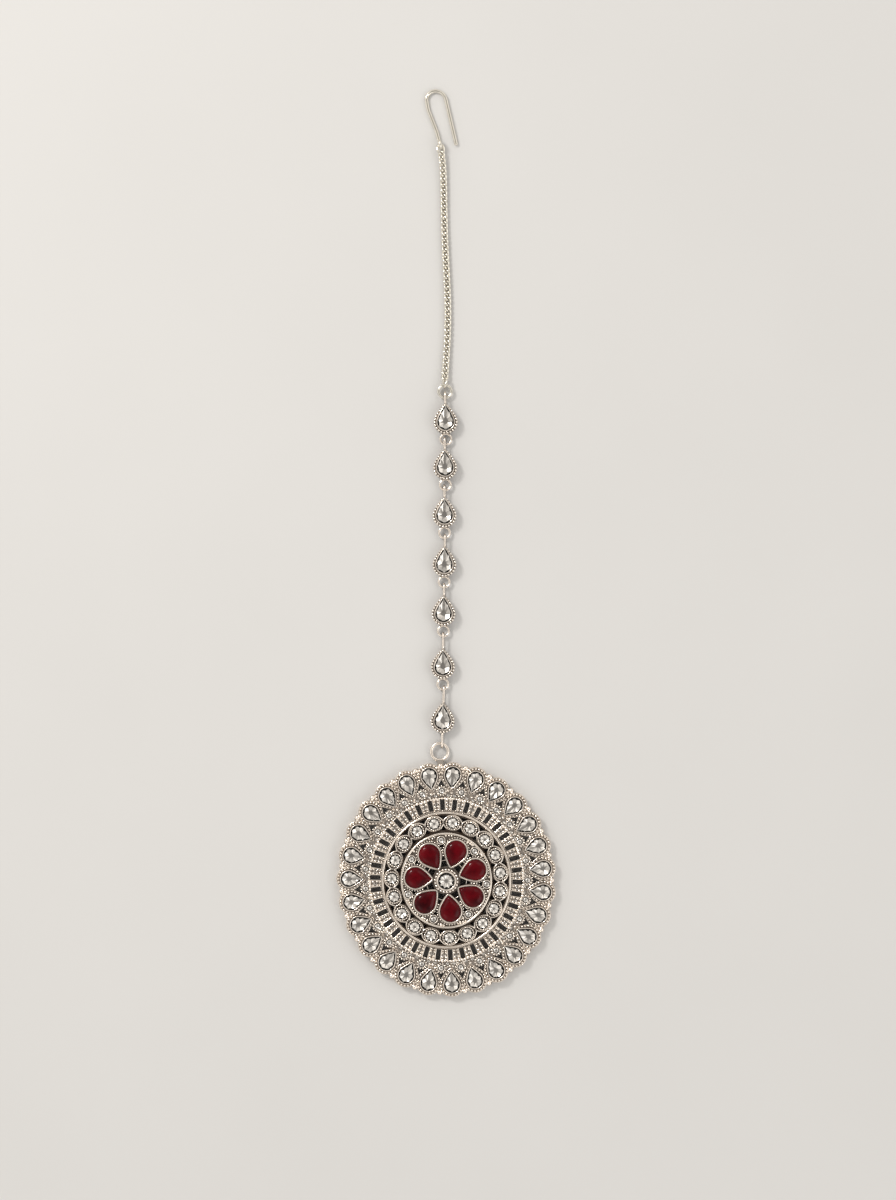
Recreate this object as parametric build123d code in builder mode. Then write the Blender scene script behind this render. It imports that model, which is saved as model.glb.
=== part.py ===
from build123d import *

import os
from math import asin, atan2, cos, degrees, radians, sin

# Maang tikka: hair hook, curb chain, jump ring, seven pear links and a domed openwork pendant.
# Millimetres. +Y runs from the pendant up to the hook, +Z out of the face, and the jewel lies on
# its back on z = 0. The origin is the middle of its length, on the surface it lies on.

# Overall: distances up the jewel are measured from the centre of the pendant
pendant_half_width = 22.5
pendant_half_height = 24.05
pendant_turn = 3.0
hook_top = 162.2
middle = (hook_top - pendant_half_height) / 2

# Clearance round a stone in its seat, and how far a pear's belly rises into its flanks
play = 0.12
pear_fullness = 0.75

# Pendant rim: pear cups with their tips inward
rim_count = 27
rim_pear_radius = 2.5
rim_pear_tip = 3.5
rim_height = 1.5
rim_cup_floor = 0.5
rim_bezel_top = 2.1
rim_stone_radius = 1.5
rim_stone_tip = 2.65
rim_bezel = 0.3
rim_oval = (pendant_half_width - rim_pear_radius, pendant_half_height - rim_pear_radius)
notch_pad_radius = 0.8
notch_pad_out = 1.3
notch_ball_radius = 0.5
notch_ball_out = 1.65

# Web between the rim and the ring of slots
web_in = 2.85
web_floor = 0.5
web_stone_in = 3.35
web_collet_radius = 0.85
web_collet_top = 1.9
web_stone_radius = 0.55

# Ring of slots and the plain ring inside it: (half width, half height) of each oval
slot_count = 38
slot_oval = (14.6, 15.42)
slot_length = 2.1
slot_width = 1.1
slot_tier_outer = (15.95, 16.85)
slot_tier_inner = (12.8, 13.5)
slot_tier_bottom = 0.7
slot_tier_top = 2.1
plain_ring_outer = (13.42, 14.12)
plain_ring_inner = (12.66, 13.36)
plain_ring_top = 2.9
plain_ring_round = 0.25

# Band of round stones
band_count = 19
band_oval = (11.15, 11.78)
band_inner = (8.6, 9.0)
band_bottom = 1.6
band_top = 2.7
band_collet_radius = 1.4
band_collet_top = 3.2
band_floor = 2.1
band_stone_radius = 1.05
band_outer_gap_foot = 1.45
band_outer_gap_width = 1.7
band_outer_gap_rise = 1.3
band_inner_gap_foot = 1.6
band_inner_gap_width = 1.0
band_inner_gap_rise = 1.0

# Flower: seven ruby cups round the centre collet
flower_turn = -4.5
flower_outer = (9.35, 9.8)
flower_ring_inner = (8.9, 9.35)
flower_bottom = 2.3
flower_top = 3.4
flower_ring_top = 3.7
ruby_count = 7
ruby_out = 6.35
ruby_radius = 2.0
ruby_tip = 3.2
ruby_bezel = 0.4
ruby_bezel_top = 4.1
ruby_floor = 2.8
ruby_top = 4.9
ruby_dome_radius = 5.0
ruby_dome_in = 0.4
wedge_foot = 2.85
wedge_point = 5.3
wedge_width = 1.8
corner_gap_out = 7.3
corner_gap_width = 1.5
corner_gap_rise = 1.2
corner_collet_out = 8.3
corner_collet_radius = 0.9
corner_collet_top = 3.9
corner_stone_radius = 0.6
centre_collet_radius = 2.5
centre_collet_top = 4.6
centre_bezel_top = 4.9
centre_floor = 3.1
centre_stone_radius = 1.58
centre_bezel = 0.35

# Top ring of the pendant and its solder neck
ring_height = 0.875
top_ring_out = 26.2
top_ring_mean = 1.715
top_ring_wire = 0.57
neck_out = 23.6
neck_width = 1.3
neck_length = 2.0
neck_bottom = 0.35
neck_top = 1.35

# Pear links, a row for each: sideways place and place up the jewel of the middle of the setting,
# its turn, and how far from that middle the far wire of its upright eye lies
link_rows = (
    # across, up, turn, eye reach
    (-0.18, 94.55, 1.0, 5.4),
    (-0.29, 85.20, 1.0, 5.4),
    (-0.39, 75.37, 0.0, 5.4),
    (-0.39, 65.27, -1.0, 5.4),
    (-0.55, 55.20, -1.0, 5.4),
    (-0.70, 44.30, -0.5, 6.2),
    (-0.70, 33.20, -2.0, 6.4),
)
link_radius = 2.385
link_tip = 3.895
link_height = 1.5
link_floor = 0.5
link_bezel_top = 2.0
link_bezel = 0.3
link_stone_radius = 1.55
link_stone_tip = 3.2
link_wire = 0.45
link_ring_mean = 1.1
link_ring_down = 4.27
link_eye_radius = 0.65
link_eye_seat = 2.85
last_eye_reach = 6.15
last_eye_seat = 3.0

# Jump ring
jump_ring_place = (-0.29, 100.1)
jump_ring_mean = 1.3
jump_ring_wire = 0.55

# Chain: rings of wire, each rolled about a quarter turn against the one before it
chain_links = 44
chain_wire = 0.38
chain_inner_length = 1.25
chain_inner_width = 0.69
end_inner_length = 1.6
end_inner_width = 1.07
end_pitch = 1.27
settle_links = 8
chain_route = (
    # across, up, height
    (-1.14, 149.71, 1.04),
    (-0.65, 145.00, 0.76),
    (-0.45, 137.00, 0.62),
    (-0.10, 127.00, 0.60),
    (0.31, 117.00, 0.60),
    (0.10, 109.00, 0.66),
    (-0.30, 101.80, 0.94),
)

# Hook: round wire, two legs and an arch, and an eye curled up at the foot of the long leg
hook_wire = 0.75
hook_eye_centre = (-1.30, 150.70)
hook_eye_lean = 13.6
hook_eye_mean = 0.72
hook_eye_sweep = 270
hook_foot_length = 2.77
hook_points = ((-3.75, 158.00), (-4.40, 161.82), (-0.50, 161.82), (1.99, 151.00))
hook_bends = (8.0, 6.0, 1.8, 2.2)


def up(across, along, height=0.0):
    """A point of the jewel, its distance up measured from the centre of the pendant."""
    return Vector(across, along - middle, height)


def leaning(origin, turn):
    """A level plane at a point of the jewel, turned about Z."""
    return Plane(origin=origin, x_dir=(cos(radians(turn)), sin(radians(turn)), 0), z_dir=(0, 0, 1))


def around(oval, count, first=0.0, height=0.0):
    """Places spread evenly along an oval, clockwise from +Y, each with its +Y facing outward."""
    half_width, half_height = oval
    flattening = (half_height - half_width) / (half_height + half_width)
    places = []
    for number in range(count):
        even = radians(first + 360 * number / count)
        turn = even + flattening / 2 * sin(2 * even)
        heading = atan2(half_height * sin(turn), half_width * cos(turn))
        point = (half_width * sin(turn), half_height * cos(turn), height)
        places.append(Location(point, (0, 0, -degrees(heading))))
    return places


def narrower(oval, amount):
    """An oval that lies a given distance inside another."""
    return oval[0] - amount, oval[1] - amount


def pear_line(radius, tip):
    """A pear's three arcs: a belly about the origin and two flanks that meet in a tip on +Y."""
    rise = pear_fullness * degrees(asin(radius / tip))
    with BuildLine():
        belly = CenterArc((0, 0), radius, 180 - rise, 180 + 2 * rise)
        right = TangentArc(belly @ 1, (0, tip), tangent=belly % 1)
        left = TangentArc(belly @ 0, (0, tip), tangent=-(belly % 0))
    return belly, right, left


def pear(radius, tip, outward=0.0):
    """A pear's face, or one that lies a given distance outside that pear."""
    with BuildSketch() as outline:
        make_face(pear_line(radius, tip))
        if outward:
            offset(amount=outward, kind=Kind.INTERSECTION, mode=Mode.REPLACE)
    return outline.sketch


def inward_pear(radius, tip, outward=0.0):
    """The same pear with its tip turned inward, to -Y."""
    return pear(radius, tip, outward).rotate(Axis.Z, 180)


def pear_corners(radius, tip, belly_sides=6, flank_sides=3):
    """Corners of a faceted pear: even steps round the belly and up each flank to the tip."""
    belly, right, left = pear_line(radius, tip)
    corners = [belly @ (step / belly_sides) for step in range(belly_sides + 1)]
    corners += [right @ (step / flank_sides) for step in range(1, flank_sides + 1)]
    corners += [left @ (step / flank_sides) for step in range(flank_sides - 1, 0, -1)]
    return [(corner.X, corner.Y) for corner in corners]


def round_corners(radius, sides):
    """Corners of a faceted round."""
    angles = [360 * step / sides for step in range(sides)]
    return [(radius * cos(radians(angle)), radius * sin(radians(angle))) for angle in angles]


def cut_stone(corners, bottom, top, middle_share=0.0):
    """A cut stone: small culet, pavilion facets, thin girdle, crown facets and a flat table.

    The outline shrinks towards a point that lies a share of its height up from the origin.
    """
    depth = top - bottom
    centre = middle_share * max(rise for _, rise in corners)
    levels = ((0.0, 0.2), (0.56, 1.0), (0.64, 1.0), (1.0, 0.56))
    with BuildPart() as stone:
        for share, size in levels:
            with BuildSketch(Plane.XY.offset(bottom + share * depth)):
                Polygon(*[(x * size, centre + (y - centre) * size) for x, y in corners])
        loft(ruled=True)
    return stone.part


def wire_loop(radius, length, wire):
    """A closed loop of round wire in the XY plane: two half circles and two straights along Y."""
    half = length / 2
    with BuildPart() as loop:
        with BuildLine() as path:
            CenterArc((0, half), radius, 0, 180)
            Line((-radius, half), (-radius, -half))
            CenterArc((0, -half), radius, 180, 180)
            Line((radius, -half), (radius, half))
        with BuildSketch(Plane(origin=(radius, 0, 0), z_dir=(0, 1, 0))):
            Circle(wire / 2)
        sweep(path=path.line)
    return loop.part


seat = leaning(up(0, 0), pendant_turn)
rim_first = 180 / rim_count
rim_places = around(rim_oval, rim_count, rim_first)
notch_places = around(narrower(rim_oval, -notch_pad_out), rim_count)
web_places = around(narrower(rim_oval, web_stone_in), rim_count)
band_first = 180 / band_count
band_places = around(band_oval, band_count, band_first)
ruby_first = 180 / ruby_count + flower_turn
ruby_places = around((ruby_out, ruby_out), ruby_count, ruby_first)
corner_places = around((corner_collet_out, corner_collet_out), ruby_count, flower_turn)

os.makedirs("parts", exist_ok=True)

# Pendant frame: every soldered part of the pendant's metal, pierced right through
with BuildPart(seat) as pendant_frame:
    # plain half-round ring between the slots and the band
    with BuildSketch(seat.offset(slot_tier_bottom)):
        Ellipse(*plain_ring_outer)
        Ellipse(*plain_ring_inner, mode=Mode.SUBTRACT)
    extrude(amount=plain_ring_top - slot_tier_bottom)
    chamfer(pendant_frame.edges().group_by(Axis.Z)[-1], plain_ring_round)

    # rim: pear pads that touch, pads in the notches between them, and the web inside
    with BuildSketch(seat):
        Ellipse(*narrower(rim_oval, web_in))
        Ellipse(*narrower(slot_tier_outer, play), mode=Mode.SUBTRACT)
        with Locations(*rim_places):
            add(inward_pear(rim_pear_radius, rim_pear_tip))
        with Locations(*notch_places):
            Circle(notch_pad_radius)
    extrude(amount=rim_height)
    with Locations(*around(narrower(rim_oval, -notch_ball_out), rim_count, 0, rim_height - play)):
        Sphere(notch_ball_radius)

    # ring of slots
    with BuildSketch(seat.offset(slot_tier_bottom)):
        Ellipse(*slot_tier_outer)
        Ellipse(*slot_tier_inner, mode=Mode.SUBTRACT)
        with Locations(*around(slot_oval, slot_count)):
            Rectangle(slot_width, slot_length, mode=Mode.SUBTRACT)
    extrude(amount=slot_tier_top - slot_tier_bottom)

    # band: a pierced ring with gaps that point inward and gaps that point outward
    with BuildSketch(seat.offset(band_bottom)):
        Ellipse(*narrower(plain_ring_inner, -play))
        Ellipse(*band_inner, mode=Mode.SUBTRACT)
        with Locations(*around(narrower(band_oval, -band_outer_gap_foot), band_count)):
            Polygon(
                (-band_outer_gap_width / 2, 0),
                (0, -band_outer_gap_rise),
                (band_outer_gap_width / 2, 0),
                mode=Mode.SUBTRACT,
            )
        with Locations(*around(narrower(band_oval, band_inner_gap_foot), band_count)):
            Polygon(
                (-band_inner_gap_width / 2, 0),
                (band_inner_gap_width / 2, 0),
                (0, band_inner_gap_rise),
                mode=Mode.SUBTRACT,
            )
    extrude(amount=band_top - band_bottom)

    # flower: a pierced disc with a raised ring round it
    with BuildSketch(seat.offset(flower_bottom)):
        Ellipse(*flower_outer)
        with Locations(*around((wedge_foot, wedge_foot), ruby_count, flower_turn)):
            Polygon(
                (-wedge_width / 2, 0),
                (wedge_width / 2, 0),
                (0, wedge_point - wedge_foot),
                mode=Mode.SUBTRACT,
            )
        with Locations(*around((corner_gap_out, corner_gap_out), ruby_count, flower_turn)):
            Polygon(
                (-corner_gap_width / 2, 0),
                (0, -corner_gap_rise),
                (corner_gap_width / 2, 0),
                mode=Mode.SUBTRACT,
            )
    extrude(amount=flower_top - flower_bottom)
    with BuildSketch(seat.offset(flower_bottom)):
        Ellipse(*flower_outer)
        Ellipse(*flower_ring_inner, mode=Mode.SUBTRACT)
    extrude(amount=flower_ring_top - flower_bottom)

    # cups, bezels and collets
    with BuildSketch(seat.offset(rim_height - play)):
        with Locations(*rim_places):
            add(inward_pear(rim_stone_radius, rim_stone_tip, play + rim_bezel))
    extrude(amount=rim_bezel_top - rim_height + play)
    with BuildSketch(seat.offset(web_floor)):
        with Locations(*web_places):
            Circle(web_collet_radius)
    extrude(amount=web_collet_top - web_floor)
    with BuildSketch(seat.offset(band_bottom)):
        with Locations(*band_places):
            Circle(band_collet_radius)
    extrude(amount=band_collet_top - band_bottom)
    with BuildSketch(seat.offset(flower_bottom)):
        with Locations(*ruby_places):
            add(inward_pear(ruby_radius, ruby_tip, play + ruby_bezel))
    extrude(amount=ruby_bezel_top - flower_bottom)
    with BuildSketch(seat.offset(flower_bottom)):
        with Locations(*corner_places):
            Circle(corner_collet_radius)
    extrude(amount=corner_collet_top - flower_bottom)
    with BuildSketch(seat.offset(flower_bottom)):
        Circle(centre_collet_radius)
    extrude(amount=centre_collet_top - flower_bottom)
    with BuildSketch(seat.offset(centre_floor)):
        Circle(centre_stone_radius + play + centre_bezel)
    extrude(amount=centre_bezel_top - centre_floor)

    # the stones' seats
    with BuildSketch(seat.offset(rim_cup_floor)):
        with Locations(*rim_places):
            add(inward_pear(rim_stone_radius, rim_stone_tip, play))
    extrude(amount=rim_bezel_top, mode=Mode.SUBTRACT)
    with BuildSketch(seat.offset(web_floor)):
        with Locations(*web_places):
            Circle(web_stone_radius + play)
    extrude(amount=web_collet_top, mode=Mode.SUBTRACT)
    with BuildSketch(seat.offset(band_floor)):
        with Locations(*band_places):
            Circle(band_stone_radius + play)
    extrude(amount=band_collet_top, mode=Mode.SUBTRACT)
    with BuildSketch(seat.offset(ruby_floor)):
        with Locations(*ruby_places):
            add(inward_pear(ruby_radius, ruby_tip, play))
        with Locations(*corner_places):
            Circle(corner_stone_radius + play)
    extrude(amount=ruby_bezel_top, mode=Mode.SUBTRACT)
    with BuildSketch(seat.offset(centre_floor)):
        Circle(centre_stone_radius + play)
    extrude(amount=centre_bezel_top, mode=Mode.SUBTRACT)

    # top ring on its solder neck
    with Locations((0, top_ring_out, ring_height)):
        Torus(top_ring_mean, top_ring_wire / 2)
    with BuildSketch(seat.offset(neck_bottom)):
        with Locations((0, neck_out)):
            Rectangle(neck_width, neck_length)
    extrude(amount=neck_top - neck_bottom)
pendant_frame.part.label = "pendant_frame"
export_step(pendant_frame.part, "parts/pendant_frame.step")

# Stones of the pendant
rim_stone = cut_stone(
    pear_corners(rim_stone_radius, rim_stone_tip), rim_cup_floor + play, rim_bezel_top + play, 0.25
)
with BuildPart(seat) as rim_stones:
    with Locations(*rim_places):
        add(rim_stone.rotate(Axis.Z, 180))
rim_stones.part.label = "rim_stones"
export_step(rim_stones.part, "parts/rim_stones.step")

web_stone = cut_stone(round_corners(web_stone_radius, 8), web_floor + play, web_collet_top + play)
with BuildPart(seat) as web_stones:
    with Locations(*web_places):
        add(web_stone)
web_stones.part.label = "web_stones"
export_step(web_stones.part, "parts/web_stones.step")

band_stone = cut_stone(round_corners(band_stone_radius, 12), band_floor + play, band_collet_top + play)
with BuildPart(seat) as band_stones:
    with Locations(*band_places):
        add(band_stone)
band_stones.part.label = "band_stones"
export_step(band_stones.part, "parts/band_stones.step")

corner_stone = cut_stone(round_corners(corner_stone_radius, 8), ruby_floor + play, corner_collet_top + play)
with BuildPart(seat) as flower_stones:
    with Locations(*corner_places):
        add(corner_stone)
flower_stones.part.label = "flower_stones"
export_step(flower_stones.part, "parts/flower_stones.step")

with BuildPart(seat) as centre_stone:
    add(cut_stone(round_corners(centre_stone_radius, 16), centre_floor + play, centre_bezel_top + 3 * play))
centre_stone.part.label = "centre_stone"
export_step(centre_stone.part, "parts/centre_stone.step")

# Rubies: pear cabochons, a pear wall under a domed top
with BuildPart() as cabochon:
    with BuildSketch(Plane.XY.offset(ruby_floor + play)):
        add(inward_pear(ruby_radius, ruby_tip))
    extrude(amount=ruby_top - ruby_floor)
    with Locations((0, -ruby_dome_in, ruby_top - ruby_dome_radius)):
        Sphere(ruby_dome_radius, mode=Mode.INTERSECT)
for number, place in enumerate(ruby_places, start=1):
    with BuildPart(seat) as ruby:
        with Locations(place):
            add(cabochon.part)
    ruby.part.label = f"ruby_{number}"
    export_step(ruby.part, f"parts/ruby_{number}.step")

# Pear links: a cup, a flat ring at its round end and an upright eye at its tip
cup_middle = (link_tip - link_radius) / 2
for number, (across, along, turn, eye_reach) in enumerate(link_rows, start=1):
    spot = leaning(up(across, along), turn)
    side = Plane(origin=spot.origin, x_dir=spot.y_dir, z_dir=spot.x_dir)
    eye_seats = [(link_eye_seat, eye_reach)]
    if number == len(link_rows):
        eye_seats.append((-last_eye_seat, -last_eye_reach))
    with BuildPart(spot) as link:
        with BuildSketch(spot):
            with Locations((0, -cup_middle)):
                add(pear(link_radius, link_tip))
        extrude(amount=link_height)
        with BuildSketch(spot.offset(link_floor)):
            with Locations((0, -cup_middle)):
                add(pear(link_stone_radius, link_stone_tip, play + link_bezel))
        extrude(amount=link_bezel_top - link_floor)
        if number < len(link_rows):
            with Locations((0, -link_ring_down, ring_height)):
                Torus(link_ring_mean, link_wire / 2)
        for near, far in eye_seats:
            loop_length = abs(far - near) - 2 * link_eye_radius
            loop = wire_loop(link_eye_radius, loop_length, link_wire).rotate(Axis.Y, 90)
            with Locations((0, (near + far) / 2, ring_height)):
                add(loop)
        with BuildSketch(spot.offset(link_floor)):
            with Locations((0, -cup_middle)):
                add(pear(link_stone_radius, link_stone_tip, play))
        extrude(amount=link_bezel_top, mode=Mode.SUBTRACT)
    link.part.label = f"link_{number}"
    export_step(link.part, f"parts/link_{number}.step")

    link_corners = pear_corners(link_stone_radius, link_stone_tip)
    with BuildPart(spot) as link_stone:
        with Locations((0, -cup_middle)):
            add(cut_stone(link_corners, link_floor + play, link_bezel_top + 2 * play, 0.25))
    link_stone.part.label = f"link_stone_{number}"
    export_step(link_stone.part, f"parts/link_stone_{number}.step")

# Jump ring
with BuildPart() as jump_ring:
    with Locations(up(*jump_ring_place, ring_height)):
        Torus(jump_ring_mean, jump_ring_wire / 2)
jump_ring.part.label = "jump_ring"
export_step(jump_ring.part, "parts/jump_ring.step")

# Chain: each ring lies along the route, rolled a quarter turn against its neighbours
route = Spline(*[up(*point) for point in chain_route])
ring_radius = (chain_inner_width + chain_wire) / 2
end_radius = (end_inner_width + chain_wire) / 2
chain_ring = wire_loop(ring_radius, chain_inner_length + chain_wire - 2 * ring_radius, chain_wire)
end_ring = wire_loop(end_radius, end_inner_length + chain_wire - 2 * end_radius, chain_wire)
pitch = (route.length - 2 * end_pitch) / (chain_links - 3)
steps = [0.0, *[end_pitch + pitch * number for number in range(chain_links - 2)], route.length]
ring_spots = []
for number, step in enumerate(steps):
    share = step / route.length
    settled = min(1, number / settle_links, (chain_links - 1 - number) / settle_links)
    roll = 90 * (number % 2) - 45 * settled
    sideways = Vector(0, 0, 1).cross(route % share)
    along_route = Plane(origin=route @ share, x_dir=sideways, z_dir=(route % share).cross(sideways))
    ring_spots.append(Location(along_route) * Rot(0, roll, 0))
with BuildPart() as chain:
    with Locations(*ring_spots[1:-1]):
        add(chain_ring)
    with Locations(ring_spots[0], ring_spots[-1]):
        add(end_ring)
chain.part.label = "chain"
export_step(chain.part, "parts/chain.step")

# Hook: one wire, whose eye is curled up out of the level of the legs
foot = leaning(up(*hook_eye_centre, hook_wire / 2), hook_eye_lean)
eye_centre = foot.origin + Vector(0, 0, hook_eye_mean)
with BuildPart() as hook:
    with BuildLine(Plane(origin=eye_centre, x_dir=foot.y_dir, z_dir=foot.x_dir)) as eye:
        CenterArc((0, 0), hook_eye_mean, 0, hook_eye_sweep)
    with BuildSketch(Plane(origin=eye.line @ 0, z_dir=eye.line % 0)):
        Circle(hook_wire / 2)
    sweep(path=eye.line)
    with BuildLine() as legs:
        kink = foot.origin + foot.y_dir * hook_foot_length
        bends = [up(*point, hook_wire / 2) for point in hook_points]
        FilletPolyline(foot.origin, kink, *bends, radius=hook_bends)
    with BuildSketch(Plane(origin=legs.line @ 0, z_dir=legs.line % 0)):
        Circle(hook_wire / 2)
    sweep(path=legs.line)
    with Locations(legs.line @ 1):
        Sphere(hook_wire / 2)
hook.part.label = "hook"
export_step(hook.part, "parts/hook.step")
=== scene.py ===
import math

import bpy
import numpy as np
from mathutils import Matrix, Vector


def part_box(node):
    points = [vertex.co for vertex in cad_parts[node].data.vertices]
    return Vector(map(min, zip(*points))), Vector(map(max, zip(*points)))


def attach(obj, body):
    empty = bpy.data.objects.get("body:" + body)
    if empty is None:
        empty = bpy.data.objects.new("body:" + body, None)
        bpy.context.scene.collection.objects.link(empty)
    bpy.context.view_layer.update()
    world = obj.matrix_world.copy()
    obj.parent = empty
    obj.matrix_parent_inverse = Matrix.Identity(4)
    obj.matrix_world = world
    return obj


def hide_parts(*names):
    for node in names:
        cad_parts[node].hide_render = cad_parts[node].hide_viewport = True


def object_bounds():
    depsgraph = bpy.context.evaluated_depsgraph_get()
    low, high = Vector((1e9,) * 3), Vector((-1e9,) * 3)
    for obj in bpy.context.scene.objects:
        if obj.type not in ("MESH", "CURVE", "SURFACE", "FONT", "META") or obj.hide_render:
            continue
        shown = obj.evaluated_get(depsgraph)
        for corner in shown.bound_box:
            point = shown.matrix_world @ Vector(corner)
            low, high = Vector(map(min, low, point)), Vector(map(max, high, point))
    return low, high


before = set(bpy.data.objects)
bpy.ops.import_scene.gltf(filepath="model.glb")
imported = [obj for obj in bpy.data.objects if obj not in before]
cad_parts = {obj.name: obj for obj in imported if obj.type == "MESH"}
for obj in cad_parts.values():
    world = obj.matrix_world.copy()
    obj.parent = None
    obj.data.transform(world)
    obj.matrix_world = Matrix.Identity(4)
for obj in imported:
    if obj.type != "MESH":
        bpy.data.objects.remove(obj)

cad_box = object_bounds()


# Hook: bent from one length of round silver wire and polished. Its eye is curled up over the
# foot of the long leg and holds the first link of the chain.

class Signal:
    """A socket of a shader's node tree that adds, multiplies and compares like a number."""

    def __init__(self, tree, socket=None):
        self.tree, self.socket = tree, socket

    def node(self, kind, settings={}, sockets={}, output=0):
        """A new node: its settings by name first, then a value or a signal for each socket."""
        made = self.tree.nodes.new("ShaderNode" + kind)
        for name, value in settings.items():
            setattr(made, name, value)
        for name, value in sockets.items():
            if isinstance(value, Signal):
                self.tree.links.new(value.socket, made.inputs[name])
            else:
                made.inputs[name].default_value = value
        return Signal(self.tree, made.outputs[output])

    def math(self, operation, first, second=0.0, clamp=False):
        return self.node("Math", {"operation": operation, "use_clamp": clamp}, {0: first, 1: second})

    def __add__(self, other): return self.math("ADD", self, other)
    def __radd__(self, other): return self.math("ADD", other, self)
    def __sub__(self, other): return self.math("SUBTRACT", self, other)
    def __rsub__(self, other): return self.math("SUBTRACT", other, self)
    def __mul__(self, other): return self.math("MULTIPLY", self, other)
    def __rmul__(self, other): return self.math("MULTIPLY", other, self)
    def __lt__(self, other): return self.math("LESS_THAN", self, other)

    def near(self, height, reach=0.00004):
        """1 where the signal is within reach of a height, 0 elsewhere."""
        return self.math("LESS_THAN", self.math("ABSOLUTE", self - height), reach)

    def limited(self):
        return self.math("ADD", self, 0.0, clamp=True)

    def noise(self, scale, detail=2.0, roughness=0.5):
        """Cloudy noise at these coordinates, about 0.5 in the middle."""
        sockets = {"Vector": self, "Scale": scale, "Detail": detail, "Roughness": roughness}
        return self.node("TexNoise", {}, sockets)

    def part(self, axis):
        """One of the three numbers of a vector."""
        return self.node("SeparateXYZ", {}, {0: self}, axis)

    def blend(self, dark, light):
        """A colour between two others, by this signal."""
        return self.node("Mix", {"data_type": "RGBA"}, {0: self, 6: dark, 7: light}, 2)

    def bump(self, strength, depth):
        """The surface's normal tilted by this signal taken as a relief of that depth."""
        return self.node("Bump", {}, {"Height": self, "Strength": strength, "Distance": depth})


def material(name, constants):
    """A Principled material with constants on its own sockets, and its object coordinates."""
    made = bpy.data.materials.new(name)
    made.use_nodes = True
    shader = made.node_tree.nodes["Principled BSDF"]
    for socket, value in constants.items():
        shader.inputs[socket].default_value = value
    return made, shader, Signal(made.node_tree).node("TexCoord", output="Object")


def feed(shader, **signals):
    """Joins signals to a shader's sockets, whose names have an underscore for each space."""
    for socket, signal in signals.items():
        shader.id_data.links.new(signal.socket, shader.inputs[socket.replace("_", " ")])


def wire_finish(name, dull, bright):
    """Polished silver wire: drawing marks and light handling wear in its tone and gloss."""
    made, shader, place = material(name, {"Metallic": 1.0})
    cloud = place.noise(420.0, 3.0)
    marks = place.noise(5200.0, 2.0)
    feed(
        shader,
        Base_Color=cloud.blend(dull, bright),
        Roughness=0.08 + cloud * 0.12 + marks * 0.06,
        Normal=(marks + cloud).bump(0.25, 0.00002),
    )
    return made


def refinish(node, finish):
    """Gives a node of the frame its procedural material."""
    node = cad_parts[node]
    node.data.materials.clear()
    node.data.materials.append(finish)


silver_wire = wire_finish("silver_wire", (0.72, 0.68, 0.59, 1), (0.88, 0.84, 0.76, 1))
refinish("hook", silver_wire)


# Chain: fine curb chain. Each link is an oval of silver wire twisted by a quarter turn, so that
# it lies flat and its ends pass square through its neighbours. The end links are wider.

def skin(grid, close_rows=True):
    """Quads between the neighbouring points of a grid: each row is a ring, each column one or not."""
    rows, columns = grid.shape[:2]
    numbers = np.arange(rows * columns).reshape(rows, columns)
    if close_rows:
        numbers = np.concatenate([numbers, numbers[:1]], axis=0)
    numbers = np.concatenate([numbers, numbers[:, :1]], axis=1)
    corners = (numbers[:-1, :-1], numbers[:-1, 1:], numbers[1:, 1:], numbers[1:, :-1])
    return grid.reshape(-1, 3), [np.stack(corners, axis=-1).reshape(-1, 4)]


def tube(path, radius, sides=8, closed=True):
    """Round wire along a path: a circle square to the path at each of its points.

    A closed path's circles start away from the middle of the path, an open one's level with the
    floor. That direction is made square to the path, and the second is square to both.
    """
    if closed:
        along = np.roll(path, -1, axis=0) - np.roll(path, 1, axis=0)
    else:
        along = np.gradient(path, axis=0)
    along /= np.linalg.norm(along, axis=1, keepdims=True)
    outward = path - path.mean(axis=0)
    if not closed:
        outward = np.cross(along, (0.0, 0.0, 1.0))
    outward -= along * np.sum(outward * along, axis=1, keepdims=True)
    outward /= np.linalg.norm(outward, axis=1, keepdims=True)
    upward = np.cross(outward, along)
    angles = np.linspace(0, 2 * np.pi, sides, endpoint=False)[None, :, None]
    grid = path[:, None] + radius * (np.cos(angles) * outward[:, None] + np.sin(angles) * upward[:, None])
    return skin(grid[:, ::-1], close_rows=closed)


def joined(*surfaces):
    """Several surfaces as one."""
    points, faces, passed = [], [], 0
    for some_points, some_faces in surfaces:
        points.append(some_points)
        faces += [rows + passed for rows in some_faces]
        passed += len(some_points)
    return np.concatenate(points), faces


def piece(name, surface, finish, smooth=True):
    """A mesh of the jewel, from a surface in millimetres, that rides with its only body.

    Its finish is one material, or a list with one for each of the surface's arrays of faces.
    """
    points, faces = surface
    finishes = finish if isinstance(finish, list) else [finish] * len(faces)
    kinds = list(dict.fromkeys(finishes))
    kind = np.concatenate([np.full(len(rows), kinds.index(one)) for rows, one in zip(faces, finishes)])
    corners = np.concatenate([rows.ravel() for rows in faces])
    sizes = np.concatenate([np.full(len(rows), rows.shape[1]) for rows in faces])
    mesh = bpy.data.meshes.new(name)
    mesh.vertices.add(len(points))
    mesh.vertices.foreach_set("co", (points * 0.001).ravel())
    mesh.loops.add(len(corners))
    mesh.loops.foreach_set("vertex_index", corners)
    mesh.polygons.add(len(sizes))
    mesh.polygons.foreach_set("loop_start", np.cumsum(sizes) - sizes)
    mesh.update(calc_edges=True)
    mesh.polygons.foreach_set("use_smooth", np.full(len(sizes), smooth))
    for one in kinds:
        mesh.materials.append(one)
    mesh.polygons.foreach_set("material_index", kind)
    made = bpy.data.objects.new(name, mesh)
    bpy.context.scene.collection.objects.link(made)
    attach(made, "root")
    return made


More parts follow.
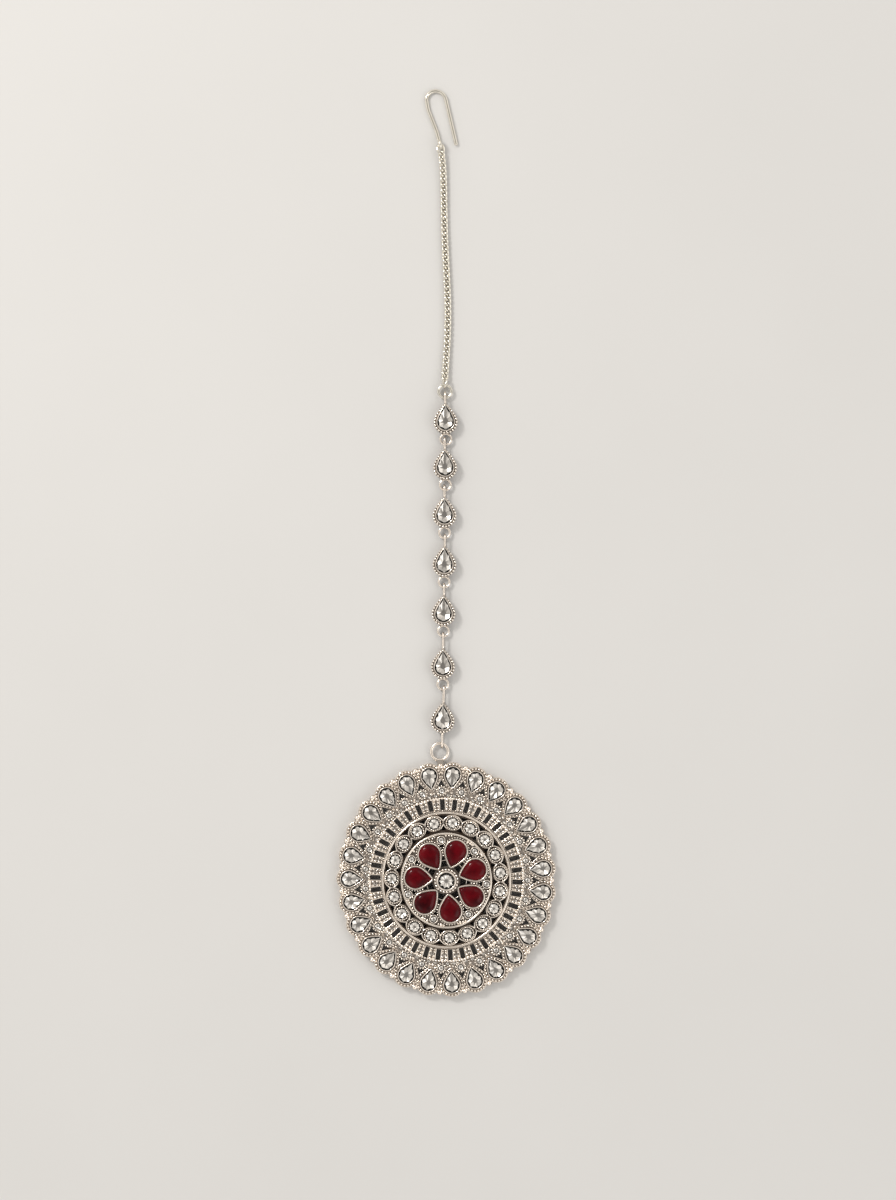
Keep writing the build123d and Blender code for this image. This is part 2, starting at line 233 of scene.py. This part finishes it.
link_count = 44
link_wire = 0.22
end_pitch = 1.27
chain_up = np.array((80.635, 75.925, 67.925, 57.925, 47.925, 39.925, 32.725))
chain_across = np.polyfit(chain_up, (-1.14, -0.65, -0.45, -0.10, 0.31, 0.10, -0.30), 6)
chain_height = np.polyfit(chain_up, (1.04, 0.76, 0.62, 0.60, 0.60, 0.66, 0.94), 4)
line_up = np.linspace(chain_up[0], chain_up[-1], 400)
line = np.stack([np.polyval(chain_across, line_up), line_up, np.polyval(chain_height, line_up)], axis=1)
passed = np.concatenate([[0], np.cumsum(np.linalg.norm(np.diff(line, axis=0), axis=1))])
steps = np.concatenate([[0], np.linspace(end_pitch, passed[-1] - end_pitch, link_count - 2), [passed[-1]]])
links = []
for number, step in enumerate(steps):
    ends = number in (0, link_count - 1)
    radius, half_length = (0.725, 0.99) if ends else (0.535, 0.815)
    turn = np.linspace(0, 2 * np.pi, 28, endpoint=False)
    across = radius * np.sin(turn)
    along = (half_length - radius) * np.clip(np.cos(turn) * 3, -1, 1) + radius * np.cos(turn)
    start, finish = {0: (0, -45), link_count - 1: (45, 90)}.get(number, (45, -45))
    roll = np.radians(np.interp(-along, (-half_length, half_length), (start, finish)))
    spot, ahead = (
        np.array([np.interp(at, passed, line[:, axis]) for axis in range(3)]) for at in (step, step + 0.1)
    )
    forward = (ahead - spot) if number < link_count - 1 else (line[-1] - line[-2])
    forward = -forward / np.linalg.norm(forward)
    sideways = np.cross(forward, (0, 0, 1.0))
    sideways /= np.linalg.norm(sideways)
    above = np.cross(sideways, forward)
    loop = spot + along[:, None] * forward + (across * np.cos(roll))[:, None] * sideways
    loop = loop + (across * np.sin(roll))[:, None] * above
    links.append(tube(loop, link_wire))
chain = piece("curb_chain", joined(*links), silver_wire)
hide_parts("chain")


# Jump ring: a plain ring of the same wire, which joins the chain to the first pear link.

refinish("jump_ring", silver_wire)


# Pear links: cast silver settings with a flat ring below and an upright eye above, and a clear pear
# stone seated at the top of the wall under a thin lip. A row of beads is soldered round the outside.
# Raised edges are bright; walls and floors are darkened, partly by dark oxide kept in the hollows and partly
# by painted shade.

def cast_finish(name, floors, walls):
    """Cast and plated silver: bright on its tops, darker on its walls, undersides and low floors.

    The darkening is partly oxide kept in the hollows and partly painted shade. It is all of faces
    that look down, the walls' share on faces that look sideways, which the place on the casting may
    decide, and a floor's own share on level faces at that floor's height. Noise breaks its edge.
    """
    made, shader, place = material(name, {"Metallic": 1.0})
    tilt = place.node("NewGeometry", output="True Normal").part(2)
    height = place.part(2)
    low = tilt < -0.5
    for floor, share in floors.items():
        low = low + height.near(floor * 0.001) * share
    cloud = place.noise(900.0, 3.0)
    grain = place.noise(7000.0, 3.0, 0.6)
    sideways = (tilt.math("ABSOLUTE", tilt) < 0.35) * walls(place)
    # Painted shade with real oxide: faces that look down, walls and low floors are darkened where shade
    # falls.
    oxide_and_shade = (low + sideways + cloud * 0.3 - 0.15).limited()
    feed(
        shader,
        Base_Color=oxide_and_shade.blend((0.97, 0.875, 0.78, 1), (0.065, 0.043, 0.03, 1)),
        Roughness=0.16 + oxide_and_shade * 0.3 + cloud * 0.12,
        Normal=(grain + cloud).bump(0.3, 0.00003),
    )
    return made


def bead_finish(name):
    """Bright beads: each burnished by its own tool mark, so that their gloss differs a little."""
    made, shader, place = material(name, {"Metallic": 1.0})
    cloud = place.noise(1500.0, 2.0)
    feed(
        shader,
        Base_Color=cloud.blend((0.93, 0.845, 0.75, 1), (1.0, 0.935, 0.86, 1)),
        Roughness=0.04 + cloud * 0.14,
        Normal=cloud.bump(0.15, 0.00003),
    )
    return made


def pear(radius, tip, outward=0.0, count=48):
    """Evenly spaced points of a pear, from its tip on +Y round the belly, left side first.

    The belly is an arc about the origin that rises three quarters of the way to a straight
    flank's foot. The flanks are arcs tangent to it that meet in the tip. Outward adds to each
    arc's radius.
    """
    rise = 0.75 * math.asin(radius / tip)
    flank = (radius**2 - 2 * radius * tip * math.sin(rise) + tip**2) / (2 * (radius - tip * math.sin(rise)))
    centre = np.array((math.cos(rise), math.sin(rise))) * (radius - flank)
    top = centre[1] + math.sqrt((flank + outward)**2 - centre[0]**2)
    end = math.atan2(top - centre[1], -centre[0])
    belly = np.linspace(-np.pi / 2, rise, 60)
    side = np.linspace(rise, end, 60)[1:]
    right = np.concatenate([
        np.stack([np.cos(belly), np.sin(belly)], axis=1) * (radius + outward),
        centre + np.stack([np.cos(side), np.sin(side)], axis=1) * (flank + outward),
    ])
    line = np.concatenate([right[::-1] * (-1, 1), right[1:]])
    passed = np.concatenate([[0], np.cumsum(np.linalg.norm(np.diff(line, axis=0), axis=1))])
    even = np.linspace(0, passed[-1], count, endpoint=False)
    return np.stack([np.interp(even, passed, line[:, 0]), np.interp(even, passed, line[:, 1])], axis=1)


def raised(outline, height):
    """A flat outline as points at a height."""
    return np.column_stack([outline, np.full(len(outline), height)])


def bead(radius, sides=8):
    """A round bead: a top point and three rings, the lowest a little under its middle, and a flat foot."""
    angles = np.linspace(0, 2 * np.pi, sides, endpoint=False)
    rings = [
        raised(np.stack([np.cos(angles) * np.cos(rise), np.sin(angles) * np.cos(rise)], axis=1), np.sin(rise))
        for rise in np.radians((-25, 10, 50))
    ]
    points, faces = skin(np.array(rings), close_rows=False)
    first = np.arange(sides)
    last = first + 2 * sides
    cap = np.stack([last, np.roll(last, -1), np.full(sides, 3 * sides)], axis=1)
    foot = np.stack([np.roll(first, -1), first, np.full(sides, 3 * sides + 1)], axis=1)
    return np.concatenate([points, [(0, 0, 1), (0, 0, points[0, 2])]]) * radius, faces + [cap, foot]


def copies(surface, places, leans=np.zeros((1, 2))):
    """A surface at each place: a row of across, up, height and heading clockwise from +Y.

    A copy's leans are its own slopes: each point rises by its x times the first and its y times
    the second.
    """
    points, faces = surface
    places = np.atleast_2d(places)
    sine, cosine = np.sin(places[:, 3:]), np.cos(places[:, 3:])
    x = places[:, :1] + points[:, 0] * cosine + points[:, 1] * sine
    y = places[:, 1:2] - points[:, 0] * sine + points[:, 1] * cosine
    z = places[:, 2:3] + points[:, 2] + points[:, 0] * leans[:, :1] + points[:, 1] * leans[:, 1:]
    step = np.arange(len(places))[:, None, None] * len(points)
    faces = [(rows + step).reshape(-1, rows.shape[1]) for rows in faces]
    return np.stack([x, y, z], axis=2).reshape(-1, 3), faces


def beads(path, radius, sides=8):
    """A bead at each point of a path."""
    return copies(bead(radius, sides), np.column_stack([path, np.zeros(len(path))]))


def cut_stone(outline, crown, pavilion, table=0.62, girdle=0.05, flat=0.4, centre=(0.0, 0.0)):
    """A shallow brilliant cut: table, stars, kites and halves above, halves, mains and a flat below.

    The outline has two points to each main facet. The table's corners lie on every second line
    from the centre to the outline at a share of its length, and the points between stars and
    halves on the other lines. Below, the flat's corners lie on the first lines at their own
    share, and the points between the halves and the mains at 0.7 of the other lines and 0.6 of
    the pavilion's depth. Heights are measured from the girdle's lower edge.
    """
    centre = np.array(centre)
    reach = outline - centre
    count = len(outline) // 2

    def ring(share, height, first, step=2):
        return raised(centre + reach[first::step] * share, height)

    points = np.concatenate([
        ring(table, crown, 0),
        ring((1 + table) / 2 * 1.02, girdle + (crown - girdle) * 0.56, 1),
        ring(1.0, girdle, 0, 1),
        ring(1.0, 0.0, 0, 1),
        ring(0.7, -pavilion * 0.6, 1),
        ring(flat, -pavilion, 0),
        raised(centre[None], crown),
        raised(centre[None], -pavilion),
    ])
    i = np.arange(count)
    j = (i + 1) % count
    star, top, low = count + i, 2 * count, 4 * count
    mid, g, h = 6 * count + i, 7 * count + i, 7 * count + j
    hub, culet = 0 * i + 8 * count, 0 * i + 8 * count + 1
    a, b, c = top + 2 * i, top + 2 * i + 1, top + 2 * j
    d, e, f = low + 2 * i, low + 2 * i + 1, low + 2 * j
    above = [(hub, i, j), (j, i, star), (i, a, star), (star, c, j), (star, a, b), (star, b, c)]
    edge = [(a, d, e, b), (b, e, f, c)]
    below = [(mid, f, e), (mid, e, d), (mid, d, g), (mid, h, f), (mid, g, h), (culet, h, g)]
    groups = (above, edge, below)
    return points, [np.concatenate([np.stack(rows, axis=1) for rows in group]) for group in groups]


def stone_finish():
    """A clear glass stone with a foil back: glass above, foil at the edge and below."""
    constants = {"Transmission Weight": 1.0, "Roughness": 0.0, "IOR": 1.46}
    glass, shader, place = material("clear_stone", constants)
    feed(shader, Base_Color=place.noise(700.0, 1.0).blend((0.95, 0.94, 0.92, 1), (1, 1, 1, 1)))
    foil, shader, place = material("stone_foil", {"Metallic": 1.0, "Roughness": 0.06})
    feed(shader, Base_Color=place.noise(900.0, 2.0).blend((0.53, 0.50, 0.465, 1), (0.81, 0.78, 0.742, 1)))
    return [glass, foil, foil]


# Link darkening, oxide and painted shade: shares on the floors at 1.5 and 2.0 mm and on the walls.
cast_link = cast_finish("cast_link", {1.5: 0.6, 2.0: 0.35}, lambda place: 0.75)
bright_beads = bead_finish("bright_beads")
clear_stone = stone_finish()
link_pear = (2.385, 3.895)
link_stone = (1.55, 3.2)
pear_stone = cut_stone(pear(*link_stone, 0.13, 16), 0.14, 0.29, 0.76, flat=0.32, centre=(0.0, 0.1))
rng = np.random.default_rng(27)
link_turns = (1.0, 1.0, 0.0, -1.0, -1.0, -0.5, -2.0)
link_beads = beads(raised(pear(*link_pear, -0.17, 25), 1.74), 0.27)
link_edge = tube(raised(pear(*link_stone, 0.23, 60), 2.0), 0.08, 6)
belly = (link_stone[1] - link_stone[0]) / 2
for number, turn in enumerate(link_turns, start=1):
    refinish(f"link_{number}", cast_link)
    low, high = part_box(f"link_stone_{number}")
    middle = (low + high) / 2 * 1000
    tilt = math.radians(turn)
    place = (middle.x + belly * math.sin(tilt), middle.y - belly * math.cos(tilt), 0.0, -tilt)
    lean = rng.normal(0, 0.045, (1, 2))
    piece(f"link_{number}_beads", copies(joined(link_beads, link_edge), place), bright_beads)
    cut = copies(pear_stone, np.array(place) + (0, 0, 1.99, 0), lean)
    stone = piece(f"link_stone_{number}_cut", cut, clear_stone, False)
    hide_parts(f"link_stone_{number}")


# Pendant frame: one soldered casting, pierced right through, in stepped tiers that rise to the
# centre. Like the links it is bright on its tops, with dark oxide and painted shade on its walls and
# low floors.

def inside_cups(place):
    """Walls' oxide and painted shade: 1 within the oval through the rim cups' middles, 0.35 on the outer
    edge.
    """
    off = place.node("VectorMath", {"operation": "SUBTRACT"}, {0: place, 1: tuple(hub * 0.001)})
    share = place.node("VectorMath", {"operation": "MULTIPLY"}, {0: off, 1: (1 / 0.020, 1 / 0.02155, 0.0)})
    return (place.node("VectorMath", {"operation": "LENGTH"}, {0: share}, "Value") < 1.0) * 0.65 + 0.35


low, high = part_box("centre_stone")
hub = (low + high) / 2 * 1000
# Floor heights and their share of darkening, partly oxide in the hollows and partly painted shade.
pendant_floors = {
    0.5: 0.95, 1.5: 0.55, 2.1: 0.75, 2.7: 0.95, 2.8: 0.95, 3.2: 0.55, 3.4: 0.8, 4.1: 0.6, 4.6: 0.7
}
cast_pendant = cast_finish("cast_pendant", pendant_floors, inside_cups)
refinish("pendant_frame", cast_pendant)
pendant = np.array((hub.x, hub.y, 0.0, math.radians(-3.0)))


# Rim trim: a row of beads and a fine edge wire round each of the 27 pear cups, a smooth lip
# round each stone, and small balls beside the one in each notch. All of it is soldered on.

def around(oval, count, first=0.0, height=0.0, heading=0.0):
    """Places spread evenly along an oval, clockwise from +Y, each with its +Y facing outward.

    The even angle is moved by half the flattening times the sine of its double, so that the
    places are the same way apart at the oval's ends and sides.
    """
    half_width, half_height = oval
    flattening = (half_height - half_width) / (half_height + half_width)
    even = np.radians(first) + np.linspace(0, 2 * np.pi, count, endpoint=False)
    turn = even + flattening / 2 * np.sin(2 * even)
    facing = np.arctan2(half_height * np.sin(turn), half_width * np.cos(turn)) + heading
    spots = np.stack([half_width * np.sin(turn), half_height * np.cos(turn)], axis=1)
    return np.column_stack([raised(spots, height), facing])


def grown(oval, amount):
    """An oval a distance outside another."""
    return oval[0] + amount, oval[1] + amount


def on_pendant(surface):
    """A surface moved from the pendant's own middle and turn to its place."""
    return copies(surface, pendant)


trim_wire = wire_finish("trim_wire", (0.84, 0.75, 0.66, 1), (0.97, 0.89, 0.80, 1))
rim_oval = (20.0, 21.55)
rim_count = 27
cup = (2.5, 3.5)
rim_stone = (1.5, 2.65)
rim_places = around(rim_oval, rim_count, 180 / rim_count, heading=np.pi)
notches = around(grown(rim_oval, 1.42), rim_count)
rim_beads = beads(raised(pear(*cup, -0.36, 22), 1.62), 0.27)
piece("rim_beads", on_pendant(copies(rim_beads, rim_places)), bright_beads)
rim_wires = joined(
    tube(raised(pear(*cup, -0.07, 56), 1.56), 0.1, 6),
    tube(raised(pear(*rim_stone, 0.21, 52), 2.12), 0.11, 6),
)
piece("rim_wires", on_pendant(copies(rim_wires, rim_places)), trim_wire)
side_balls = joined(copies(bead(0.3), (-0.42, 0.0, 1.5, 0)), copies(bead(0.3), (0.42, 0.0, 1.5, 0)))
piece("notch_balls", on_pendant(copies(side_balls, notches)), bright_beads)


# Rim stones: clear pear cuts, each dropped into its cup and held by the lip.

rim_cut = cut_stone(pear(*rim_stone, 0.03, 16), 0.13, 0.27, 0.78, flat=0.3)
rim_set = copies(rim_cut, rim_places + (0, 0, 1.9, 0), rng.normal(0, 0.045, (rim_count, 2)))
rim_stones = piece("rim_stones_cut", on_pendant(rim_set), clear_stone, False)
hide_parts("rim_stones")


# Web: the ground between the rim and the slots, thick with grain. Each small stone has beads
# round its collet, and tiny stones and loose grains fill the rest and the lobes between the cups.

def round_outline(radius, count):
    angles = np.linspace(0, 2 * np.pi, count, endpoint=False)
    return np.stack([np.sin(angles), np.cos(angles)], axis=1)[::-1] * radius


def plate(outline, low, high):
    """A flat plate: its outline at two heights, with a fan of triangles over each."""
    points, faces = skin(np.array([raised(outline, low), raised(outline, high)]), close_rows=False)
    middle = outline.mean(axis=0)
    first = np.arange(len(outline))
    last = first + len(outline)
    foot = np.stack([np.roll(first, -1), first, np.full(len(first), len(points))], axis=1)
    top = np.stack([last, np.roll(last, -1), np.full(len(first), len(points) + 1)], axis=1)
    return np.concatenate([points, [(*middle, low), (*middle, high)]]), faces + [foot, top]


def clear_of(spots, taken, reach):
    """The spots farther than a reach from each of the taken places."""
    gaps = np.hypot(spots[:, None, 0] - taken[:, 0], spots[:, None, 1] - taken[:, 1])
    return spots[(gaps > reach).all(axis=1)]


def outside(spots, outline, places):
    """The spots that are on the outer side of some edge of a convex outline at every place."""
    sine, cosine = np.sin(places[:, 3]), np.cos(places[:, 3])
    across, up = spots[:, None, 0] - places[:, 0], spots[:, None, 1] - places[:, 1]
    x, y = across * cosine - up * sine, across * sine + up * cosine
    edge = np.roll(outline, -1, axis=0) - outline
    side = edge[:, 0] * (y[..., None] - outline[:, 1]) - edge[:, 1] * (x[..., None] - outline[:, 0])
    return spots[~(side > 0).all(axis=2).any(axis=1)]


def scattered(inner, outer, rows, spacing, height, rng):
    """Spots in rows from one oval to another, each row turned and each spot moved at random."""
    spots = []
    for share in np.linspace(0, 1, rows):
        oval = (inner[0] + (outer[0] - inner[0]) * share, inner[1] + (outer[1] - inner[1]) * share)
        spots.append(around(oval, round(math.pi * sum(oval) / spacing), 360 * rng.random(), height))
    spots = np.concatenate(spots)
    spots[:, :2] += rng.normal(0, 0.05, (len(spots), 2))
    return spots


def grains(spots, rng):
    """Beads of three sizes, dealt to the spots at random."""
    dealt = rng.choice(3, len(spots))
    sizes = (0.25, 0.3, 0.36)
    return joined(*[copies(bead(size, 6), spots[dealt == kind]) for kind, size in enumerate(sizes)])


web_oval = (16.65, 18.2)
web_places = around(web_oval, rim_count)
collet_lip = tube(raised(round_outline(0.72, 20), 1.9), 0.07, 6)
collet_beads = beads(raised(round_outline(0.96, 11), 1.72), 0.23, 6)
lobe_line = np.array(((0.9, -2.5), (-0.9, -2.5), (-1.5, -3.0), (-1.5, -3.6), (1.5, -3.6), (1.5, -3.0)))
lobes = copies(plate(lobe_line, 0.7, 1.48), around(rim_oval, rim_count))
piece("web_lobes", on_pendant(lobes), cast_pendant)
piece("web_collets", on_pendant(copies(collet_lip, web_places)), trim_wire)
fill_places = np.concatenate([
    around((16.25, 17.25), rim_count, share * 360 / rim_count, 1.62) for share in (-0.33, 0.33)
])
fill_stone = cut_stone(round_outline(0.33, 12), 0.12, 0.06)
piece("web_fill_stones", on_pendant(copies(fill_stone, fill_places)), clear_stone, False)
inner_row = around((15.78, 16.66), 172, 0, 2.1)
spots = scattered((16.2, 17.15), (17.38, 18.9), 4, 0.6, 1.58, rng)
spots = outside(spots, pear(*cup, 0.16, 32), rim_places)
spots = clear_of(clear_of(spots, web_places, 1.2), fill_places, 0.55)
web_grains = joined(grains(np.concatenate([spots, inner_row]), rng), copies(collet_beads, web_places))
piece("web_grains", on_pendant(web_grains), bright_beads)
web_cut = cut_stone(round_outline(0.57, 12), 0.09, 0.1, 0.7, flat=0.3)
web_set = copies(web_cut, web_places + (0, 0, 1.7, 0))
web_stones = piece("web_stones_cut", on_pendant(web_set), clear_stone, False)
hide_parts("web_stones")


# Bars: between the slots, each bar carries a tiny clear stone in a square of four beads, with a
# wire along each side of it and a pair of grains at its outer end.

slot_oval = (14.6, 15.42)
slot_count = 38
bar_places = around(slot_oval, slot_count, 180 / slot_count)
corners = joined(*[copies(bead(0.29, 6), (x, y, 2.1, 0)) for x in (-0.4, 0.4) for y in (-0.42, 0.42)])
square = joined(corners, *[copies(bead(0.25, 6), (x, -0.93, 2.1, 0)) for x in (-0.28, 0.28)])
outer_pair = joined(*[copies(bead(0.31, 6), (x, 1.0, 2.1, 0)) for x in (-0.36, 0.36)])
along = np.array((-1.15, -0.4, 0.4, 1.15))
sides = joined(*[
    tube(np.stack([side * (0.66 + 0.083 * along), along, np.full(4, 2.12)], axis=1), 0.13, 6, closed=False)
    for side in (-1, 1)
])
piece("bar_beads", on_pendant(copies(joined(square, outer_pair), bar_places)), bright_beads)
piece("bar_wires", on_pendant(copies(sides, bar_places)), trim_wire)
bar_cut = cut_stone(round_outline(0.37, 12), 0.12, 0.06)
bar_set = copies(bar_cut, bar_places + (0, 0, 2.14, 0))
piece("bar_stones", on_pendant(bar_set), clear_stone, False)


# Edge ring: a heavy polished wire soldered over the joint of the slots and the band, with a fine
# row of beads along its outer side.

edge_oval = (13.04, 13.74)
edge_line = around(edge_oval, 160, 0, 2.74)[:, :3]
piece("edge_ring", on_pendant(tube(edge_line, 0.25, 10)), trim_wire)
edge_beads = copies(bead(0.15, 6), around(grown(edge_oval, 0.38), 230, 0, 2.25))
piece("edge_ring_beads", on_pendant(edge_beads), bright_beads)


# Band: nineteen round stones in collets, each framed by a wire bent to a pointed eye, whose
# points meet between the stones.

band_oval = (11.15, 11.78)
band_count = 19
band_places = around(band_oval, band_count, 180 / band_count)
eye_turn = np.linspace(0, 2 * np.pi, 40, endpoint=False)
eye_width = 1.52 * np.sin(eye_turn) * np.abs(np.sin(eye_turn))**0.35
eye_line = np.stack([1.95 * np.cos(eye_turn), eye_width, np.full(40, 2.95)], axis=1)
collet_beads = beads(raised(round_outline(1.31, 18), 3.2), 0.19, 6)
piece("band_eyes", on_pendant(copies(tube(eye_line, 0.16, 6), band_places)), trim_wire)
piece("band_beads", on_pendant(copies(collet_beads, band_places)), bright_beads)
band_cut = cut_stone(round_outline(1.15, 16), 0.12, 0.22, 0.68, flat=0.22)
band_set = copies(band_cut, band_places + (0, 0, 2.95, 0), rng.normal(0, 0.05, (band_count, 2)))
band_stones = piece("band_stones_cut", on_pendant(band_set), clear_stone, False)
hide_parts("band_stones")


# Flower: a beaded ring round seven ruby cups. Each cup has a smooth lip with a row of beads
# outside it, and a small clear stone sits between each two cups.

ruby_count = 7
flower_turn = -4.5
ruby_pear = (2.0, 3.2)
flower_ring = around((9.12, 9.57), 150, 0, 3.68)[:, :3]
piece("flower_ring", on_pendant(tube(flower_ring, 0.24, 8)), trim_wire)
ruby_places = around((6.35, 6.35), ruby_count, 180 / ruby_count + flower_turn, heading=np.pi)
ruby_lip = tube(raised(pear(*ruby_pear, 0.3, 60), 4.1), 0.15, 8)
ruby_row = raised(pear(*ruby_pear, 0.66, 34), 3.74)
ruby_beads = beads(ruby_row[ruby_row[:, 1] < 1.9], 0.21, 6)
piece("ruby_lips", on_pendant(copies(ruby_lip, ruby_places)), trim_wire)
piece("ruby_beads", on_pendant(copies(ruby_beads, ruby_places)), bright_beads)
bridge = tube(np.array([(x, 0, 3.2) for x in (-0.6, -0.2, 0.2, 0.6)]), 0.12, 6, closed=False)
bridges = copies(bridge, around((4.1, 4.1), ruby_count, flower_turn))
piece("wedge_bridges", on_pendant(bridges), trim_wire)
corner_places = around((8.3, 8.3), ruby_count, flower_turn)
corner_lip = tube(raised(round_outline(0.8, 20), 3.9), 0.12, 6)
piece("corner_collets", on_pendant(copies(corner_lip, corner_places)), trim_wire)
spots = scattered((7.6, 7.6), (8.68, 9.13), 3, 0.58, 3.5, rng)
spots = clear_of(outside(spots, pear(*ruby_pear, 0.92, 32), ruby_places), corner_places, 1.1)
piece("flower_grains", on_pendant(grains(spots, rng)), bright_beads)
corner_cut = cut_stone(round_outline(0.6, 12), 0.09, 0.1, 0.7, flat=0.3)
corner_set = copies(corner_cut, corner_places + (0, 0, 3.72, 0))
corner_stones = piece("flower_stones_cut", on_pendant(corner_set), clear_stone, False)
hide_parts("flower_stones")


# Rubies: deep red pear cabochons, domed and polished, with silky cloud inside the stone.

def dome(radius, tip, foot, wall, crown):
    """A pear cabochon: rings of its outline that shrink as a quarter of an ellipse rises.

    Each ring is the outline at the cosine of a rising angle, about a point up the pear, at the
    wall's height plus the crown's height times the angle's sine.
    """
    count = 56
    outline = pear(radius, tip, 0.1, count)
    centre = np.array((0.0, 0.3))
    rise = np.radians((0, 12, 25, 38, 50, 62, 74, 84))
    rings = [raised(outline, foot)]
    rings += [raised(centre + (outline - centre) * math.cos(a), wall + crown * math.sin(a)) for a in rise]
    points, faces = skin(np.array(rings), close_rows=False)
    last = np.arange(count)
    after = np.roll(last, -1)
    passed = count * len(rise)
    cap = np.stack([last + passed, after + passed, np.full(count, len(points))], axis=1)
    bottom = np.stack([after, last, np.full(count, len(points) + 1)], axis=1)
    points = np.concatenate([points, raised(centre[None], wall + crown), raised(centre[None], foot)])
    return points, [faces[0][count:], cap, faces[0][:count], bottom]


gloss = {"Roughness": 0.06, "IOR": 1.5, "Specular IOR Level": 0.08}
coat = {"Coat Weight": 0.12, "Coat Roughness": 0.1}
ruby_finish, shader, place = material("ruby", gloss | coat)
silk = place.noise(300.0, 4.0, 0.6) * 2.0 - 0.5
feed(shader, Base_Color=silk.limited().blend((0.02, 0.0, 0.001, 1), (0.145, 0.001, 0.005, 1)))
for number, place in enumerate(ruby_places, start=1):
    cabochon = on_pendant(copies(dome(*ruby_pear, 3.0, 4.05, 0.82), place))
    ruby = piece(f"ruby_{number}_dome", cabochon, ruby_finish)
    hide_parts(f"ruby_{number}")


# Centre: a round clear stone in a high smooth bezel, with a row of beads round its foot.

centre_lip = tube(raised(round_outline(1.87, 48), 4.88), 0.19, 8)
centre_beads = beads(raised(round_outline(2.28, 22), 4.6), 0.28)
piece("centre_lip", on_pendant(centre_lip), trim_wire)
piece("centre_beads", on_pendant(centre_beads), bright_beads)
centre_cut = cut_stone(round_outline(1.58, 20), 0.14, 0.3, 0.62, flat=0.22)
centre_set = copies(centre_cut, (0, 0, 4.75, 0))
centre_stone = piece("centre_stone_cut", on_pendant(centre_set), clear_stone, False)
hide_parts("centre_stone")


# Setting: a plain pale floor, a soft lamp high on the left and a weaker one to fill, and a world
# that is grey overhead with soft bright panels round it. The camera looks straight down.

floor_mesh = bpy.data.meshes.new("floor")
floor_mesh.from_pydata([(-3, -3, 0), (3, -3, 0), (3, 3, 0), (-3, 3, 0)], [], [(0, 1, 2, 3)])
floor = bpy.data.objects.new("floor", floor_mesh)
bpy.context.scene.collection.objects.link(floor)
floor_finish, floor_shader, floor_place = material("floor", {"Roughness": 0.6})
shade = floor_place.noise(18.0, 3.0)
feed(floor_shader, Base_Color=shade.blend((0.61, 0.603, 0.592, 1), (0.645, 0.638, 0.628, 1)))
floor_mesh.materials.append(floor_finish)


def lamp(name, place, aim, size, power, colour):
    """A square soft lamp at a place, turned to its aim."""
    light = bpy.data.lights.new(name, "AREA")
    light.shape, light.size, light.energy, light.color = "SQUARE", size, power, colour
    made = bpy.data.objects.new(name, light)
    made.location = place
    made.rotation_euler = (Vector(aim) - Vector(place)).to_track_quat("-Z", "Y").to_euler()
    bpy.context.scene.collection.objects.link(made)


lamp("key", (-0.40, 0.36, 0.50), (0, -0.02, 0), 0.14, 2.2, (1.0, 0.97, 0.93))
lamp("fill", (0.5, -0.3, 0.45), (0, -0.02, 0), 0.5, 0.5, (0.95, 0.97, 1.0))

world = bpy.data.worlds.new("studio")
bpy.context.scene.world = world
world.use_nodes = True
sky = Signal(world.node_tree).node("TexCoord", output="Generated")
rise = sky.part(2)
glow = (1.6 - rise.math("ABSOLUTE", rise - 0.5) * 3.2).limited() * 0.42
boxes = [(-48, 46, 22), (35, 42, 18), (118, 50, 20), (-140, 48, 18)]
boxes += [(-5, 70, 15), (72, 72, 16), (160, 70, 15), (-92, 72, 16)]
for turn, lean, reach in boxes:
    turn, lean, reach = np.radians((turn, lean, reach))
    aim = (math.sin(turn) * math.sin(lean), math.cos(turn) * math.sin(lean), math.cos(lean))
    facing = sky.node("VectorMath", {"operation": "DOT_PRODUCT"}, {0: sky, 1: aim}, "Value")
    glow = glow + ((facing - math.cos(reach)) * 18.0).limited() * 0.7
backdrop = world.node_tree.nodes["Background"]
seen = sky.node("LightPath", output="Is Camera Ray")
light = glow.limited().blend((0.29, 0.278, 0.265, 1), (1.7, 1.65, 1.57, 1))
plain = seen.node("Mix", {"data_type": "RGBA"}, {0: seen, 6: light, 7: (0.8, 0.785, 0.76, 1)}, 2)
world.node_tree.links.new(plain.socket, backdrop.inputs["Color"])

low, high = cad_box
camera = bpy.data.cameras.new("camera")
camera.sensor_fit = "VERTICAL"
camera.sensor_height = 36.0
camera.lens = camera.sensor_height * 0.600 / 0.2466
view = bpy.data.objects.new("camera", camera)
view.location = ((low[0] + high[0]) / 2 + 0.0004, (low[1] + high[1]) / 2 - 0.0118, 0.600)
bpy.context.scene.collection.objects.link(view)
bpy.context.scene.camera = view
bpy.context.scene.view_settings.view_transform = "Standard"
